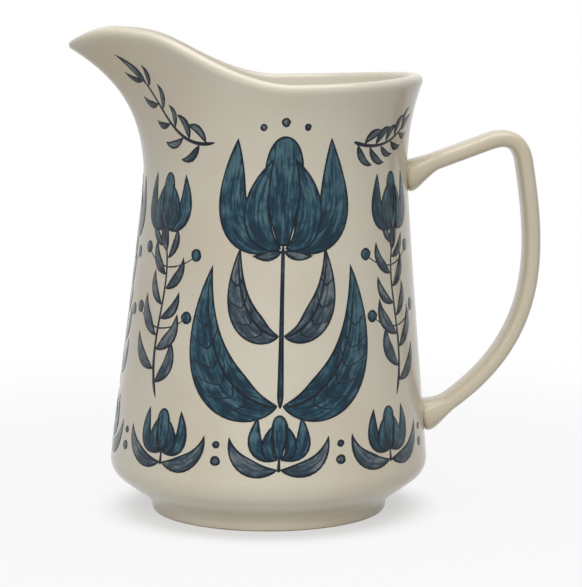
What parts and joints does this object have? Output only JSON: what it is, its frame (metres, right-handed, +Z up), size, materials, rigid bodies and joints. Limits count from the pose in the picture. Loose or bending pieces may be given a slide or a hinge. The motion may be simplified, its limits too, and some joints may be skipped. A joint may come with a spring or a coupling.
{
  "type": "pitcher",
  "caption": "Tapered stoneware pitcher with a chamfered base on a foot ring, a raised pouring beak and a loop handle, for serving drinks or holding flowers.",
  "frame": {"origin": "on the standing surface, midway between the tip of the beak and the back of the handle", "axes": "+Z up, -X to the beak, +X to the handle, XZ is the plane of symmetry"},
  "size_m": [0.2, 0.1354, 0.2053],
  "materials": {
    "cream_glaze": "clear gloss glaze over a cream stoneware body",
    "bare_stoneware": "wiped foot, matt and slightly gritty",
    "blue_underglaze": "brushed slate blue underglaze with dark outlines, under the clear gloss glaze"
  },
  "bodies": {
    "root": {"foot_ring": "bare_stoneware", "base_dish": "cream_glaze", "body_wall": "cream_glaze", "spout_beak": "cream_glaze", "handle_loop": "cream_glaze", "upper_handle_lug": "cream_glaze", "lower_handle_lug": "cream_glaze"}
  },
  "joints": []
}
